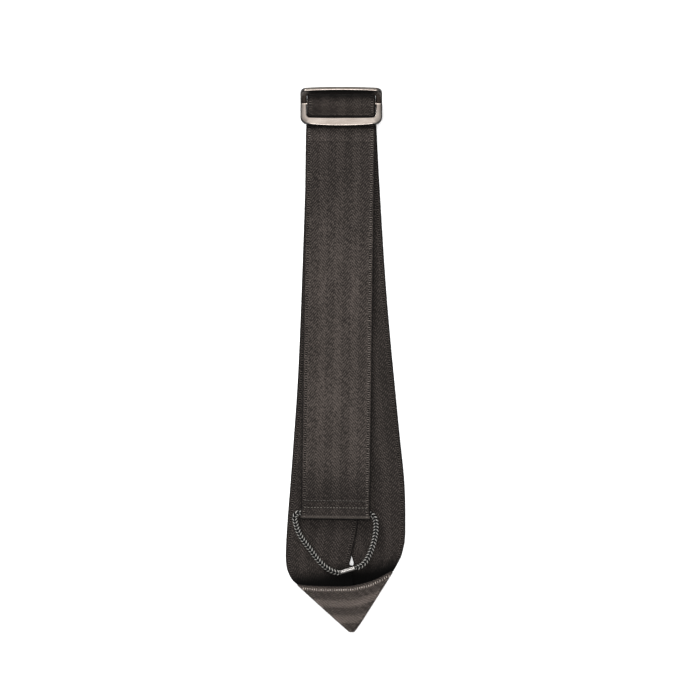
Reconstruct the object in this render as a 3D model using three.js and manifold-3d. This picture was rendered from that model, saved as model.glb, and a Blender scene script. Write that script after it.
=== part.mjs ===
// A guitar strap, folded flat on its own loop. One length of webbing is sewn round the centre bar of a
// bent three-bar slide, runs down to a folded tip, comes back up, turns over the bar and lies down the
// front to a hem, where a braided cord makes a button loop.
// Millimetres. X is across the strap, Y runs along it towards the slide, Z is up from the surface that
// it lies on. The origin is the middle of its outline, on that surface.
import * as THREE from "three";
import { mergeVertices } from "three/addons/utils/BufferGeometryUtils.js";
import Module from "manifold-3d";

const wasm = await Module();
wasm.setup();

// Driving dimensions
const WEB_WIDTH = 50; // 2 inch webbing
const WEB_THICK = 1.3;
const GAP = 0.3; // between layers that touch
const LAYER = WEB_THICK + GAP;
const BAR_RADIUS = 2;
const AXIS_Y = 188.4; // the slide's centre bar
const AXIS_Z = 2 * LAYER + BAR_RADIUS;
const RUN_TILT = THREE.MathUtils.degToRad(-0.77); // the front run lies a little askew

// Heights of the underside of each layer, from the surface up
const RIGHT_LEG_Z = 0;
const LEFT_LEG_Z = LAYER;
const FLAP_Z = 2 * LAYER;
const RUN_Z = 3 * LAYER;

const SLIDE = {
  width: 60,
  halfLength: 17, // from the centre bar to each end, along the bent plate
  sideBar: 4,
  endBar: 6,
  thick: 2.9,
  corner: 4,
  slotCorner: 1.5,
  coreRadius: 3.2, // cleared round the centre bar
  bow: 0.9, // how far the end bars bow outwards
  lowerRise: THREE.MathUtils.degToRad(16),
  upperRise: THREE.MathUtils.degToRad(53),
  x: -3.1,
};

const ANCHOR = { x: -2.4, flapLength: 42, nearRow: 16, farRow: 38, rowX: -3.2 };
const TURN = { x: -3.1, bulge: 6.9, end: 168 }; // the running webbing's turn over the bar
const DESCENT = THREE.MathUtils.degToRad(35); // how steeply both come down from the bar
const RUN = { x: -3.9, y: 168, jointGap: 0.7, hemTop: -101.6 };
const TUNNEL = { y: -112.6, descent: 80 }; // the hem comes down steeply behind the cord
const THREAD = { length: 44, width: 0.8, thick: 0.2, clear: 0.05 };
const ROW_INSET = 1.2; // from the edge of the flat stretch to the stitches beside it
const CORD = { radius: 2, sides: 8, steps: 60 };
const FERRULE = { radius: 1.9, bevel: 0.3, from: [-3.8, -156.0], to: [7.0, -152.9] };
const TIP = {
  rimLeft: [-35.5, -164.7],
  rimRight: [34.8, -154.8],
  endLeft: [1.3, -198.9],
  endRight: [7.2, -199.9],
  bulge: 4.5, // how far the rim stands up from the flap
  sag: 6.6, // how far the middle of the rim hangs below a straight line
  across: 8,
  wallLeft: 1.95,
  wallRight: 1.6,
};
const LEG_TOP = AXIS_Y - GAP - 0.1;
const LEG_STEPS = 24;

// Materials
const look = (color, roughness, metalness = 0) =>
  new THREE.MeshStandardMaterial({ color, roughness, metalness });
const charcoalWebbing = () => look(0x3c3835, 0.85);
const gunmetal = () => look(0x8d8580, 0.32, 1);
const blackThread = () => look(0x4a4643, 0.6);
const glossyCord = () => look(0x2b2a2a, 0.4);
const ferruleMetal = () => look(0x77736f, 0.3, 1);

const group = new THREE.Group();

function named(name, geometry, material, parent = group) {
  const mesh = new THREE.Mesh(geometry, material);
  mesh.name = name;
  parent.add(mesh);
  return mesh;
}

// Solids joined and cut

function solidFrom(geometry) {
  const bare = geometry.clone();
  bare.deleteAttribute("normal");
  bare.deleteAttribute("uv");
  const merged = mergeVertices(bare, 1e-4);
  return new wasm.Manifold(
    new wasm.Mesh({
      numProp: 3,
      vertProperties: merged.attributes.position.array,
      triVerts: new Uint32Array(merged.index.array),
    }),
  );
}

function geometryFrom(solid) {
  const mesh = solid.getMesh();
  return new THREE.BufferGeometry()
    .setAttribute("position", new THREE.BufferAttribute(mesh.vertProperties, 3))
    .setIndex(new THREE.BufferAttribute(mesh.triVerts, 1));
}

// A flat piece of webbing: its outline seen from above, from height z up.
function plate(outline, z, thick = WEB_THICK) {
  const shape = new THREE.Shape(outline.map(([x, y]) => new THREE.Vector2(x, y)));
  return new THREE.ExtrudeGeometry(shape, { depth: thick, bevelEnabled: false }).translate(0, 0, z);
}

// Turns a side profile drawn as (y, z) and drawn out along its own Z into one that runs along X.
const SIDE_VIEW = new THREE.Matrix4().makeBasis(
  new THREE.Vector3(0, 1, 0),
  new THREE.Vector3(0, 0, 1),
  new THREE.Vector3(1, 0, 0),
);

// A bent band of webbing: its centreline in side view, as [y, z] points, given thickness and width.
function band(line, x, width = WEB_WIDTH, thick = WEB_THICK) {
  const normals = line.map((_, i) => {
    const before = line[Math.max(i - 1, 0)];
    const after = line[Math.min(i + 1, line.length - 1)];
    return new THREE.Vector2(before[1] - after[1], after[0] - before[0]).normalize();
  });
  const side = (offset) =>
    line.map(([y, z], i) => new THREE.Vector2(y + normals[i].x * offset, z + normals[i].y * offset));
  const outline = [...side(thick / 2), ...side(-thick / 2).reverse()];
  return new THREE.ExtrudeGeometry(new THREE.Shape(outline), { depth: width, bevelEnabled: false })
    .applyMatrix4(SIDE_VIEW)
    .translate(x - width / 2, 0, 0);
}

// Points on an ellipse round [y, z], from one angle to another in degrees; 0 is +Y and 90 is up.
function arc([y, z], radiusY, radiusZ, from, to, steps) {
  return Array.from({ length: steps + 1 }, (_, i) => {
    const angle = THREE.MathUtils.degToRad(from + ((to - from) * i) / steps);
    return [y + radiusY * Math.cos(angle), z + radiusZ * Math.sin(angle)];
  });
}

// Where a straight descent at this slope, going to -Y, reaches a height.
const descendTo = ([y, z], slope, height) => [y - (z - height) / Math.tan(slope), height];

// Slide

// One half of the bent plate, from the bar (y = 0) to its end, with its slot cut out.
function slideHalf() {
  const { width, halfLength, sideBar, endBar, thick, corner, slotCorner, bow } = SLIDE;
  const half = width / 2;
  const end = halfLength - bow;
  const outer = new THREE.Shape();
  outer.moveTo(-half, 0);
  outer.lineTo(half, 0);
  outer.lineTo(half, end - corner);
  outer.quadraticCurveTo(half, end, half - corner, end);
  outer.quadraticCurveTo(0, halfLength + bow, -half + corner, end);
  outer.quadraticCurveTo(-half, end, -half, end - corner);
  const slotHalf = half - sideBar;
  const slotEnd = halfLength - endBar;
  const slot = new THREE.Shape();
  slot.moveTo(-slotHalf, -1);
  slot.lineTo(slotHalf, -1);
  slot.lineTo(slotHalf, slotEnd - slotCorner);
  slot.quadraticCurveTo(slotHalf, slotEnd, slotHalf - slotCorner, slotEnd);
  slot.lineTo(-slotHalf + slotCorner, slotEnd);
  slot.quadraticCurveTo(-slotHalf, slotEnd, -slotHalf, slotEnd - slotCorner);
  const extruded = (shape, depth) => {
    const geometry = new THREE.ExtrudeGeometry(shape, { depth, bevelEnabled: false, curveSegments: 6 });
    return solidFrom(geometry.translate(0, 0, -depth / 2));
  };
  return [extruded(outer, thick), extruded(slot, 3 * thick)];
}

function slideFrame() {
  const place = (solid, turn) => {
    const euler = new THREE.Euler(...turn);
    const matrix = new THREE.Matrix4().makeRotationFromEuler(euler);
    return solidFrom(geometryFrom(solid).applyMatrix4(matrix));
  };
  const upperTurn = [SLIDE.upperRise, 0, 0];
  const lowerTurn = [-SLIDE.lowerRise, 0, Math.PI];
  const [plateHalf, slotHalf] = slideHalf();
  // The two halves meet at the bend, where a round core fills the outside of the corner
  const rod = (radius, length, sides) =>
    solidFrom(new THREE.CylinderGeometry(radius, radius, length, sides).rotateZ(Math.PI / 2));
  const solid = rod(SLIDE.thick / 2, SLIDE.width, 16)
    .add(place(plateHalf, upperTurn))
    .add(place(plateHalf, lowerTurn))
    .subtract(place(slotHalf, upperTurn))
    .subtract(place(slotHalf, lowerTurn))
    .subtract(rod(SLIDE.coreRadius, SLIDE.width - 2 * SLIDE.sideBar, 24));
  return geometryFrom(solid);
}

const slide = new THREE.Group();
slide.position.set(SLIDE.x, AXIS_Y, AXIS_Z);
group.add(slide);
named("slide_frame", slideFrame(), gunmetal(), slide);
const barLength = SLIDE.width - 2 * SLIDE.sideBar - 2 * GAP;
const bar = new THREE.CylinderGeometry(BAR_RADIUS, BAR_RADIUS, barLength, 16).rotateZ(Math.PI / 2);
named("slide_centre_bar", bar, gunmetal(), slide);

// Webbing round the bar

const axis = [AXIS_Y, AXIS_Z];

// The sewn end: round the bar from below, then down to lie on the left leg.
const anchorRadius = BAR_RADIUS + GAP + WEB_THICK / 2;
const leave = 90 + THREE.MathUtils.radToDeg(DESCENT);
const anchorArc = arc(axis, anchorRadius, anchorRadius, -90, leave, 20);
const flapStart = descendTo(anchorArc.at(-1), DESCENT, FLAP_Z + WEB_THICK / 2);
const anchorLine = [...anchorArc, flapStart, [AXIS_Y - ANCHOR.flapLength, flapStart[1]]];
named("webbing_anchor_end", band(anchorLine, ANCHOR.x), charcoalWebbing());

// The running webbing: up through the far slot, over the bar and down under the slide's lower end.
const turnRadius = anchorRadius + LAYER;
const turnLine = [
  ...arc(axis, TURN.bulge, turnRadius, -90, 90, 20),
  ...arc(axis, turnRadius, turnRadius, 90, leave, 5).slice(1),
];
const runHeight = RUN_Z + WEB_THICK / 2;
turnLine.push(descendTo(turnLine.at(-1), DESCENT, runHeight), [TURN.end, runHeight]);
named("webbing_bar_turn", band(turnLine, TURN.x), charcoalWebbing());

// Legs of the loop. Each outline starts at the slide and goes down its outer edge, round the corner,
// along the tip's fold and back up its inner edge. An edge is a smooth curve through its points.
const smooth = (points, count) =>
  new THREE.SplineCurve(points.map(([x, y]) => new THREE.Vector2(x, y)))
    .getPoints(count)
    .map((p) => [p.x, p.y]);

const rightLegOuter = [
  [TURN.x + WEB_WIDTH / 2, LEG_TOP],
  [24.7, 132],
  [30.4, 44],
  [38.6, -44],
  [43.2, -90],
  [43.9, -121],
  [41.3, -143.5],
  [35.2, -153.6],
];
const rightLegInner = [
  [3.2, -193],
  [3.6, -165],
  [4.6, -154.2],
  [6.0, -150.3],
  [4.3, -143.8],
  [-6, -121],
  [-11.4, -44],
  [-19.6, 44],
  [-25.3, 132],
  [TURN.x - WEB_WIDTH / 2, LEG_TOP],
];
const rightLegFold = [
  [33.5, -153.9],
  [7.8, -194.3],
];
const rightLeg = [...smooth(rightLegOuter, LEG_STEPS), ...rightLegFold, ...smooth(rightLegInner, LEG_STEPS)];
named("webbing_right_leg", plate(rightLeg, RIGHT_LEG_Z), charcoalWebbing());

const leftLegInner = [
  [ANCHOR.x + WEB_WIDTH / 2, LEG_TOP],
  [16.2, 11],
  [9.9, -88],
  [9.4, -118],
  [4.3, -143.8],
  [2.9, -150.3],
  [4.2, -154.2],
  [5.2, -165],
  [3.4, -193.5],
];
const leftLegOuter = [
  [-34.6, -163.4],
  [-42.3, -154.5],
  [-43.9, -141],
  [-42.4, -116],
  [-38.6, -66],
  [-33.8, 11],
  [ANCHOR.x - WEB_WIDTH / 2, LEG_TOP],
];
const leftLegFold = [
  [-0.6, -192.6],
  [-33, -164.9],
];
const leftLeg = [...smooth(leftLegInner, LEG_STEPS), ...leftLegFold, ...smooth(leftLegOuter, LEG_STEPS)];
named("webbing_left_leg", plate(leftLeg, LEFT_LEG_Z), charcoalWebbing());

// The tip: the webbing folds over both diagonals and crosses in front of the legs, a bulging triangle.
// It is lofted through closed sections from the rim down to the point.
function tipSection(down) {
  const mix = (a, b) => [a[0] + (b[0] - a[0]) * down, a[1] + (b[1] - a[1]) * down];
  const left = mix(TIP.rimLeft, TIP.endLeft);
  const right = mix(TIP.rimRight, TIP.endRight);
  const top = FLAP_Z + WEB_THICK;
  const wallLeft = TIP.wallLeft / (right[0] - left[0]);
  const wallRight = TIP.wallRight / (right[0] - left[0]);
  const at = (u, z) => {
    const sag = TIP.sag * (1 - down) * Math.sin(Math.PI * u);
    return new THREE.Vector3(left[0] + (right[0] - left[0]) * u, left[1] + (right[1] - left[1]) * u - sag, z);
  };
  const bulge = (u) => TIP.bulge * (1 - down) ** 1.5 * Math.sin(Math.PI * u) ** 1.3;
  const across = Array.from({ length: TIP.across + 1 }, (_, i) => i / TIP.across);
  const inside = across.map((u) => wallLeft + (1 - wallLeft - wallRight) * u).reverse();
  return [
    ...across.map((u) => at(u, top + bulge(u))),
    at(1, RIGHT_LEG_Z),
    at(1 - wallRight, RIGHT_LEG_Z),
    ...inside.map((u) => at(u, FLAP_Z + bulge(u))),
    at(wallLeft, LEFT_LEG_Z),
    at(0, LEFT_LEG_Z),
  ];
}

function loft(rings) {
  const size = rings[0].length;
  const points = rings.flat();
  const index = [];
  for (let r = 0; r + 1 < rings.length; r++) {
    for (let i = 0; i < size; i++) {
      const a = r * size + i;
      const b = r * size + ((i + 1) % size);
      index.push(a, a + size, b, b, a + size, b + size);
    }
  }
  const flat = (ring) => ring.map((p) => new THREE.Vector2(p.x, p.z));
  const last = (rings.length - 1) * size;
  // The triangles come out facing -Y, so the cap at the rim is turned round
  THREE.ShapeUtils.triangulateShape(flat(rings[0]), []).forEach(([a, b, c]) => index.push(a, c, b));
  THREE.ShapeUtils.triangulateShape(flat(rings.at(-1)), []).forEach(([a, b, c]) =>
    index.push(last + a, last + b, last + c),
  );
  return new THREE.BufferGeometry().setFromPoints(points).setIndex(index);
}

const tipStations = [0, 0.12, 0.28, 0.45, 0.62, 0.78, 0.9, 1];
named("webbing_tip_fold", loft(tipStations.map(tipSection)), charcoalWebbing());

// Front run and hem, in a group that lies askew by RUN_TILT

const run = new THREE.Group();
run.position.set(RUN.x, RUN.y, 0);
run.rotation.z = RUN_TILT;
group.add(run);
const along = (y) => y - RUN.y; // a place along the strap, in the run's own frame

const hemTop = along(RUN.hemTop);
const runLine = [[-RUN.jointGap, runHeight], [hemTop + GAP, runHeight]];
named("webbing_front_run", band(runLine, 0), charcoalWebbing(), run);

// The hem: the end turns under round the cord and lies flat below the run.
const tunnelRadius = CORD.radius + GAP + WEB_THICK / 2;
const tunnel = [along(TUNNEL.y), FLAP_Z + WEB_THICK / 2 + tunnelRadius];
const hemArc = arc(tunnel, tunnelRadius, tunnelRadius, 270, 90 - TUNNEL.descent, 22);
const shoulder = hemArc.at(-1);
const drop = (shoulder[1] - runHeight) / Math.tan(THREE.MathUtils.degToRad(TUNNEL.descent));
const shoulderEnd = [shoulder[0] + drop, runHeight];
const hemLine = [[hemTop, FLAP_Z + WEB_THICK / 2], ...hemArc, shoulderEnd, [hemTop, runHeight]];
named("webbing_hem", band(hemLine, 0), charcoalWebbing(), run);

function threadRow(name, y, z, x, parent) {
  const row = new THREE.BoxGeometry(THREAD.length, THREAD.width, THREAD.thick);
  const mesh = named(name, row, blackThread(), parent);
  mesh.position.set(x, y, z + THREAD.clear + THREAD.thick / 2);
}
threadRow("hem_thread_lower", shoulderEnd[0] + ROW_INSET, RUN_Z + WEB_THICK, 0, run);
threadRow("hem_thread_upper", hemTop - ROW_INSET, RUN_Z + WEB_THICK, 0, run);

// Two rows behind the slide hold the sewn end to the left leg; they show only on its hidden side.
const flapTop = FLAP_Z + WEB_THICK;
threadRow("anchor_thread_near", AXIS_Y - ANCHOR.nearRow, flapTop, ANCHOR.rowX, group);
threadRow("anchor_thread_far", AXIS_Y - ANCHOR.farRow, flapTop, ANCHOR.rowX, group);

// Button loop: one braided cord, from one end of the ferrule round through the hem to the other.
const CORD_ROUTE = [
  [-4.6, -156.2, 5.2],
  [-8.6, -155.4, 5.2],
  [-13.2, -153.0, 5.2],
  [-17.6, -149.4, 5.2],
  [-21.2, -145.2, 5.2],
  [-24.9, -140.2, 5.2],
  [-28.7, -135.2, 5.2],
  [-32.2, -130.3, 5.2],
  [-35.0, -124.7, 5.3],
  [-36.6, -119.0, 5.6],
  [-37.1, -115.4, 6.1],
  [-35.7, -112.8, 6.6],
  [-32.9, -112.26, 6.8],
  [-28.0, -112.33, 6.8],
  [-18.0, -112.46, 6.8],
  [-7.7, -112.6, 6.8],
  [4.0, -112.76, 6.8],
  [12.5, -112.87, 6.8],
  [17.4, -112.96, 6.8],
  [20.4, -114.5, 6.5],
  [22.0, -118.0, 5.9],
  [22.4, -123.2, 5.4],
  [22.0, -128.0, 5.2],
  [20.9, -133.4, 5.2],
  [19.3, -138.6, 5.2],
  [17.2, -143.8, 5.2],
  [14.7, -148.2, 5.2],
  [11.4, -151.3, 5.2],
  [7.9, -152.7, 5.2],
];

function cordTube() {
  const path = new THREE.CatmullRomCurve3(CORD_ROUTE.map((p) => new THREE.Vector3(...p)));
  const section = new THREE.Shape(
    Array.from({ length: CORD.sides }, (_, i) => {
      const angle = (2 * Math.PI * (i + 0.5)) / CORD.sides;
      return new THREE.Vector2(CORD.radius * Math.cos(angle), CORD.radius * Math.sin(angle));
    }),
  );
  return new THREE.ExtrudeGeometry(section, { steps: CORD.steps, extrudePath: path, bevelEnabled: false });
}
named("button_cord", cordTube(), glossyCord());

function ferruleGeometry(length) {
  const { radius, bevel } = FERRULE;
  const profile = [
    [0, 0],
    [radius - bevel, 0],
    [radius, bevel],
    [radius, length - bevel],
    [radius - bevel, length],
    [0, length],
  ].map(([r, y]) => new THREE.Vector2(r, y));
  return new THREE.LatheGeometry(profile, 20).rotateZ(-Math.PI / 2); // its length runs along X
}
const [fromX, fromY] = FERRULE.from;
const [toX, toY] = FERRULE.to;
const ferrule = named("cord_ferrule", ferruleGeometry(Math.hypot(toX - fromX, toY - fromY)), ferruleMetal());
ferrule.position.set(fromX, fromY, CORD_ROUTE[0][2]);
ferrule.rotation.z = Math.atan2(toY - fromY, toX - fromX);

export default group;
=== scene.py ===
"""A webbing guitar strap, folded flat on its own loop, seen from straight above on a pale surface.

Lengths are in millimetres until a mesh or a call to the frame needs metres, which MM gives. X is across
the strap, Y runs along it towards the slide and Z is up. Each piece of webbing is built round its middle
surface, with u across the webbing, from -HALF to HALF, and v along it.
"""

import math

import bpy
import numpy as np
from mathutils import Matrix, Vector


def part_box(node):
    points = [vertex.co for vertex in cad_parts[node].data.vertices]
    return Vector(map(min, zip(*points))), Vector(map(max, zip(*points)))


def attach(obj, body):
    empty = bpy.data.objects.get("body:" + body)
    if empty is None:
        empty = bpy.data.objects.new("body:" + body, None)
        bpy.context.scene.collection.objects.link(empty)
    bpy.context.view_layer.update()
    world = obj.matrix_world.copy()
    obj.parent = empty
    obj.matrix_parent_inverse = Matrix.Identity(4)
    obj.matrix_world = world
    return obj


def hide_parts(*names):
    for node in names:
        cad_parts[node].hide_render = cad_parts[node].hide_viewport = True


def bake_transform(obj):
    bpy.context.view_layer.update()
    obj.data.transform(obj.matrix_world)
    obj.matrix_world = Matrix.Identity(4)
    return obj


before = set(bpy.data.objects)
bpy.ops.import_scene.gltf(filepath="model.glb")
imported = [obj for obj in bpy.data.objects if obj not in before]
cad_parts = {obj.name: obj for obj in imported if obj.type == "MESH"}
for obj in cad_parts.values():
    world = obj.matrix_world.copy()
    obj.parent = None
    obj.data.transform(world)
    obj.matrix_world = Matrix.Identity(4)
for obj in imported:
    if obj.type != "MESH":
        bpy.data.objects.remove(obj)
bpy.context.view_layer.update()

MM = 0.001
HALF = 25.0  # half the width of the webbing
THICK = 1.3
GAP = 0.3  # between one layer of webbing and the next
LAYER = THICK + GAP
TILT = math.radians(-0.77)  # the front run lies a little askew

# Heights of the middle of each layer of webbing
RIGHT_LEG_Z = THICK / 2
LEFT_LEG_Z = RIGHT_LEG_Z + LAYER
FLAP_Z = RIGHT_LEG_Z + 2 * LAYER
RUN_Z = RIGHT_LEG_Z + 3 * LAYER


def middle_of(node):
    """The middle of a CAD node's box, in millimetres."""
    low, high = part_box(node)
    return [(a + b) / 2 / MM for a, b in zip(low, high)]


BAR_X, *AXIS = middle_of("slide_centre_bar")  # AXIS is the bar's middle in side view, as (y, z)


# ------------------------ camera, floor and light

VIEW_WIDTH = 514.5  # what the picture takes in at the height of the surface
VIEW_CENTRE = (3.3, 7.2)
CAMERA_HEIGHT = 4000.0


def add_object(name, data):
    """A new object in the scene."""
    made = bpy.data.objects.new(name, data)
    bpy.context.scene.collection.objects.link(made)
    return made


def make_camera():
    data = bpy.data.cameras.new("camera")
    data.sensor_width = 36
    data.lens = data.sensor_width * CAMERA_HEIGHT / VIEW_WIDTH
    data.clip_end = 200
    camera = add_object("camera", data)
    camera.location = [c * MM for c in (*VIEW_CENTRE, CAMERA_HEIGHT)]
    bpy.context.scene.camera = camera


def area_light(name, location, size, power):
    """A rectangular light that faces the origin."""
    data = bpy.data.lights.new(name, "AREA")
    data.shape = "RECTANGLE"
    data.size, data.size_y = size
    data.energy = power
    light = add_object(name, data)
    light.location = location
    light.rotation_mode = "QUATERNION"
    light.rotation_quaternion = Vector(location).to_track_quat("Z", "Y")


def add_node(tree, kind, inputs, **settings):
    """A shader node with its settings made, and its inputs given values or linked to others' sockets."""
    node = tree.nodes.new("ShaderNode" + kind)
    for name, value in settings.items():
        setattr(node, name, value)
    for key, value in inputs.items():
        if isinstance(value, bpy.types.NodeSocket):
            tree.links.new(value, node.inputs[key])
        else:
            node.inputs[key].default_value = value
    return node


HORIZON, OVERHEAD = 0.45, 1.05  # how bright the surroundings are low down and from well up
WELL_UP = 0.6  # the sine of the angle from which they are as bright as overhead
VIEW_GAMMA = 0.8
FLOOR_REACH = 60  # metres


def make_studio():
    world = bpy.data.worlds.new("studio")
    world.use_nodes = True
    tree = world.node_tree
    background = tree.nodes["Background"]
    background.inputs["Color"].default_value = (1, 1, 1, 1)
    direction = add_node(tree, "TexCoord", {}).outputs["Generated"]
    height = add_node(tree, "SeparateXYZ", {0: direction}).outputs["Z"]
    reach = {"From Max": WELL_UP, "To Min": HORIZON, "To Max": OVERHEAD}
    glow = add_node(tree, "MapRange", {"Value": height, **reach})
    tree.links.new(glow.outputs["Result"], background.inputs["Strength"])
    bpy.context.scene.world = world
    area_light("key", location=(-0.9, 1.3, 0.95), size=(0.7, 0.5), power=26)
    area_light("overhead", location=(0, 0, 5), size=(2.4, 2.4), power=125)
    bpy.context.scene.view_settings.view_transform = "Standard"
    bpy.context.scene.view_settings.gamma = VIEW_GAMMA

    corners = [(x * FLOOR_REACH, y * FLOOR_REACH, 0) for x, y in ((-1, -1), (1, -1), (1, 1), (-1, 1))]
    floor_mesh = bpy.data.meshes.new("floor")
    floor_mesh.from_pydata(corners, [], [(0, 1, 2, 3)])
    material = bpy.data.materials.new("floor")
    material.use_nodes = True
    shader = material.node_tree.nodes["Principled BSDF"]
    shader.inputs["Base Color"].default_value = (0.93, 0.93, 0.93, 1)
    shader.inputs["Roughness"].default_value = 0.9
    floor_mesh.materials.append(material)
    add_object("floor", floor_mesh)


# ------------------------ materials


class Field:
    """A number that varies over a surface, worked out by shader nodes."""

    def __init__(self, tree, socket):
        self.tree, self.socket = tree, socket

    def math(self, operation, *others):
        inputs = {i: getattr(value, "socket", value) for i, value in enumerate((self, *others))}
        return Field(self.tree, add_node(self.tree, "Math", inputs, operation=operation).outputs[0])

    def __add__(self, other):
        return self.math("ADD", other)

    def __sub__(self, other):
        return self.math("SUBTRACT", other)

    def __mul__(self, other):
        return self.math("MULTIPLY", other)

    def __truediv__(self, other):
        return self.math("DIVIDE", other)

    def wave(self, period):
        """From 0 to 1 and back, once every period."""
        return (self * (2 * math.pi / period)).math("SINE") * 0.5 + 0.5

    def step(self, low, high):
        """From 0 below low to 1 above high."""
        inputs = {"Value": self.socket, "From Min": low, "From Max": high}
        node = add_node(self.tree, "MapRange", inputs, interpolation_type="SMOOTHSTEP")
        return Field(self.tree, node.outputs["Result"])

    def inside(self, low, high, soft):
        """1 between low and high, fading to 0 across soft on either side of each."""
        return self.step(low - soft, low + soft) * (self * -1).step(-high - soft, -high + soft)


def weighed(fields, shares):
    """The sum of the fields that shares names, each times its share."""
    first, *rest = (fields[name] * share for name, share in shares.items())
    for field in rest:
        first = first + field
    return first


class Surface:
    """A material, with the fields that drive it. Its coordinates are a mesh attribute's, in metres, or
    those of an object's own frame."""

    def __init__(self, name, attribute=None, frame_of=None, **values):
        self.material = bpy.data.materials.new(name)
        self.material.use_nodes = True
        self.tree = self.material.node_tree
        self.shader = self.tree.nodes["Principled BSDF"]
        for socket, value in values.items():
            self.shader.inputs[socket.replace("_", " ")].default_value = value
        if attribute:
            node = add_node(self.tree, "Attribute", {}, attribute_name=attribute)
            self.place = node.outputs["Vector"]
        else:
            self.place = add_node(self.tree, "TexCoord", {}, object=frame_of).outputs["Object"]

    def turned(self, origin, angle):
        """Turns the coordinates to a frame with this origin, in millimetres, and angle about Z."""
        place = {"Vector": self.place, "Location": [c * MM for c in origin], "Rotation": (0, 0, angle)}
        self.place = add_node(self.tree, "Mapping", place, vector_type="TEXTURE").outputs["Vector"]

    def parts(self):
        """The three coordinates, in millimetres."""
        split = add_node(self.tree, "SeparateXYZ", {0: self.place})
        return [Field(self.tree, split.outputs[i]) / MM for i in range(3)]

    def noise(self, sizes, detail=2.0):
        """Noise from 0 to 1, with a size in millimetres along each coordinate."""
        scales = [1 / (size * MM) for size in sizes]
        place = add_node(self.tree, "VectorMath", {0: self.place, 1: scales}, operation="MULTIPLY")
        inputs = {"Vector": place.outputs[0], "Scale": 1.0, "Detail": detail}
        return Field(self.tree, add_node(self.tree, "TexNoise", inputs).outputs["Fac"])

    def mix(self, share, low, high):
        """A colour between low and high; either can be the output of another mix."""
        node = add_node(self.tree, "Mix", {"Factor": share.socket}, data_type="RGBA")
        for name, colour in (("A", low), ("B", high)):
            socket = next(s for s in node.inputs if s.name == name and s.type == "RGBA")
            if isinstance(colour, bpy.types.NodeSocket):
                self.tree.links.new(colour, socket)
            else:
                socket.default_value = (*colour, 1)
        return next(s for s in node.outputs if s.type == "RGBA")

    def set(self, socket, value):
        self.tree.links.new(getattr(value, "socket", value), self.shader.inputs[socket])

    def bump(self, height, depth):
        """Relief from a field of 0 to 1 that stands depth millimetres deep."""
        node = add_node(self.tree, "Bump", {"Distance": depth * MM, "Height": height.socket})
        self.tree.links.new(node.outputs["Normal"], self.shader.inputs["Normal"])


LADDER_PITCH = 1.65
LADDER_FROM, LADDER_TO = 1.45, 3.55  # distances in from the edge
PANELS_FROM = 4.3
PANEL = (2 * HALF - 2 * PANELS_FROM) / 7  # width of one herringbone panel
RUNG = (0.35, 0.75)  # the part of each wave along an edge that makes a tick
RIM_FADES = (0.3, 1.5)  # distances in from the edge
TWILL_PITCH = 2.3
TWILL_RISE, TWILL_DRIFT = 1.15, 0.9  # how steep the twill lines are, and how far they stray
FLOATS_RISE = 0.35
END_PITCH, PICK_PITCH = 0.84, 0.62  # of the yarns that run along the webbing, and across it

# How much each part of the weave adds to its paleness and to its relief
PALENESS = {"twill": 0.12, "floats": 0.36, "fuzz": 0.35, "mottle": 0.78, "patches": 0.3}
MEAN_PALENESS = 0.49
RELIEF = {"twill": 0.15, "floats": 0.5, "picks": 0.2, "ends": 0.12, "rung": 0.5, "fuzz": 0.25}
RELIEF_DEPTH = 0.25

FOLD_HIGHLIGHT_HALF, FOLD_HIGHLIGHT_SOFT, FOLD_HIGHLIGHT_SHARE = 1.1, 0.7, 0.4  # the paler band along a fold: stretched yarn with a painted highlight

# The front run is darker at its top, gets paler from the first of these distances down it to the second,
# and darkens again towards the hem. Each ends with how much.
RUN_TOP_DARKER = 0.1
RUN_PALER = (10, 110, 0.16)
RUN_DARKER = (238, 268, 0.23)

DARK_YARN = (0.0215, 0.0185, 0.0168)
PALE_YARN = (0.12, 0.102, 0.0925)
SHADOW_YARN = (0.004, 0.0032, 0.0029)
# painted shade, for hollows and narrow gaps
PAINTED_SHADE_YARN = (0.0012, 0.0011, 0.001)
TICK_YARN = (0.22, 0.195, 0.178)


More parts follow.
